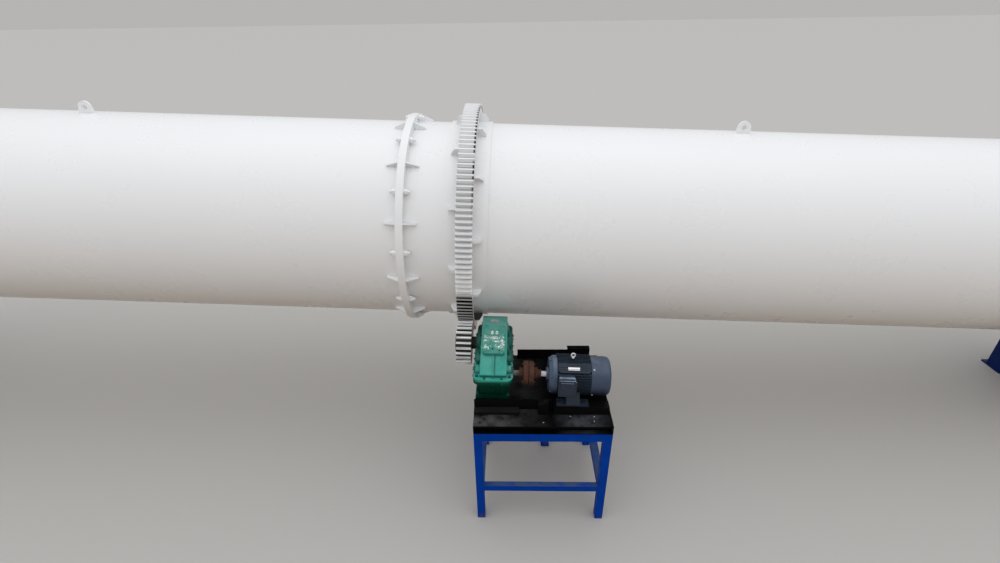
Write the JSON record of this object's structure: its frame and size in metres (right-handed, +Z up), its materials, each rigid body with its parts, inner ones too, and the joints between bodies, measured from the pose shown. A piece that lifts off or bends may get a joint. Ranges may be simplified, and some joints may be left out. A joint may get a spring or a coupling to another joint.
{
  "type": "rotary drum dryer",
  "caption": "Long inclined steel drum in two flanged halves on roller supports, turned by a girth gear and an open pinion drive on its own table.",
  "frame": {"origin": "centre of the footprint on the floor", "axes": "+X along the drum towards its lower, discharge end; +Y to the back, away from the drive; +Z up"},
  "size_m": [16.0496, 2.2959, 2.8991],
  "materials": {
    "drum_white": "glossy white paint, a little dusty",
    "white_gear": "white paint, worn to bare metal on the teeth",
    "gear_steel": "bare machined teeth",
    "shaft_steel": "bare turned steel",
    "rusty_iron": "rusty cast iron",
    "gearbox_green": "green paint, chipped round the inspection cover",
    "motor_blue": "blue-grey paint",
    "table_blue": "blue paint",
    "platform_black": "black paint, scuffed and dusty",
    "roller_steel": "machined steel",
    "bearing_grey": "grey painted cast iron",
    "support_blue": "dark blue paint"
  },
  "bodies": {
    "frame": {"front_beam": "platform_black", "front_rail": "platform_black", "front_strip": "platform_black", "gearbox_base": "gearbox_green", "gearbox_bearing_caps": "gearbox_green", "gearbox_cover": "gearbox_green", "gearbox_inspection_cover": "gearbox_green", "gearbox_seat": "platform_black", "motor_body": "motor_blue", "motor_end_shield": "motor_blue", "motor_fan_cover": "motor_blue", "motor_packing": "platform_black", "motor_terminal_box": "motor_blue", "platform_channels": "platform_black", "platform_cross_channels": "platform_black", "platform_plate": "platform_black", "rear_beam": "platform_black", "roller_bearings_left": "bearing_grey", "roller_bearings_right": "bearing_grey", "roller_bed_left": "support_blue", "roller_bed_right": "support_blue", "stop_block": "platform_black", "support_beam_left": "support_blue", "support_beam_right": "support_blue", "support_posts_left": "support_blue", "support_posts_right": "support_blue", "support_rollers_left": "roller_steel", "support_rollers_right": "roller_steel", "support_tie_left": "support_blue", "support_tie_right": "support_blue", "table_legs": "table_blue", "table_long_beams": "table_blue", "table_low_front_rail": "table_blue", "table_low_side_rails": "table_blue", "table_middle_leg": "table_blue", "table_side_beams": "table_blue", "thrust_rollers": "roller_steel"},
    "drum": {"end_ring_left": "drum_white", "end_ring_right": "drum_white", "flange_left": "drum_white", "flange_right": "drum_white", "flights_left": "drum_white", "flights_right": "drum_white", "gear_band": "drum_white", "gear_brackets_left": "drum_white", "gear_brackets_right": "drum_white", "girth_gear": "white_gear", "lifting_lugs": "drum_white", "riding_ring_left": "drum_white", "riding_ring_right": "drum_white", "ring_seat_left": "drum_white", "ring_seat_right": "drum_white", "shell_left": "drum_white", "shell_right": "drum_white"},
    "pinion": {"pinion": "gear_steel", "output_shaft": "shaft_steel"},
    "coupling": {"coupling_gearbox_half": "rusty_iron", "coupling_motor_half": "rusty_iron", "input_shaft": "shaft_steel", "motor_shaft": "shaft_steel"}
  },
  "joints": [
    {"name": "drum_spin", "type": "hinge", "parent": "frame", "child": "drum", "pos_m": [0, 0.26, 1.8], "axis": [0.9992, 0, -0.04], "continuous": true},
    {"name": "pinion_spin", "type": "hinge", "parent": "frame", "child": "pinion", "pos_m": [0.4058, -0.54627, 1.14874], "axis": [0.9992, 0, -0.04], "continuous": true},
    {"name": "coupling_spin", "type": "hinge", "parent": "frame", "child": "coupling", "pos_m": [0.85793, -0.87326, 1.13066], "axis": [0.9992, 0, -0.04], "continuous": true}
  ],
  "couplings": [
    {"joint": "pinion_spin", "follows": "drum_spin", "ratio": -5.84},
    {"joint": "coupling_spin", "follows": "drum_spin", "ratio": -183.96}
  ]
}
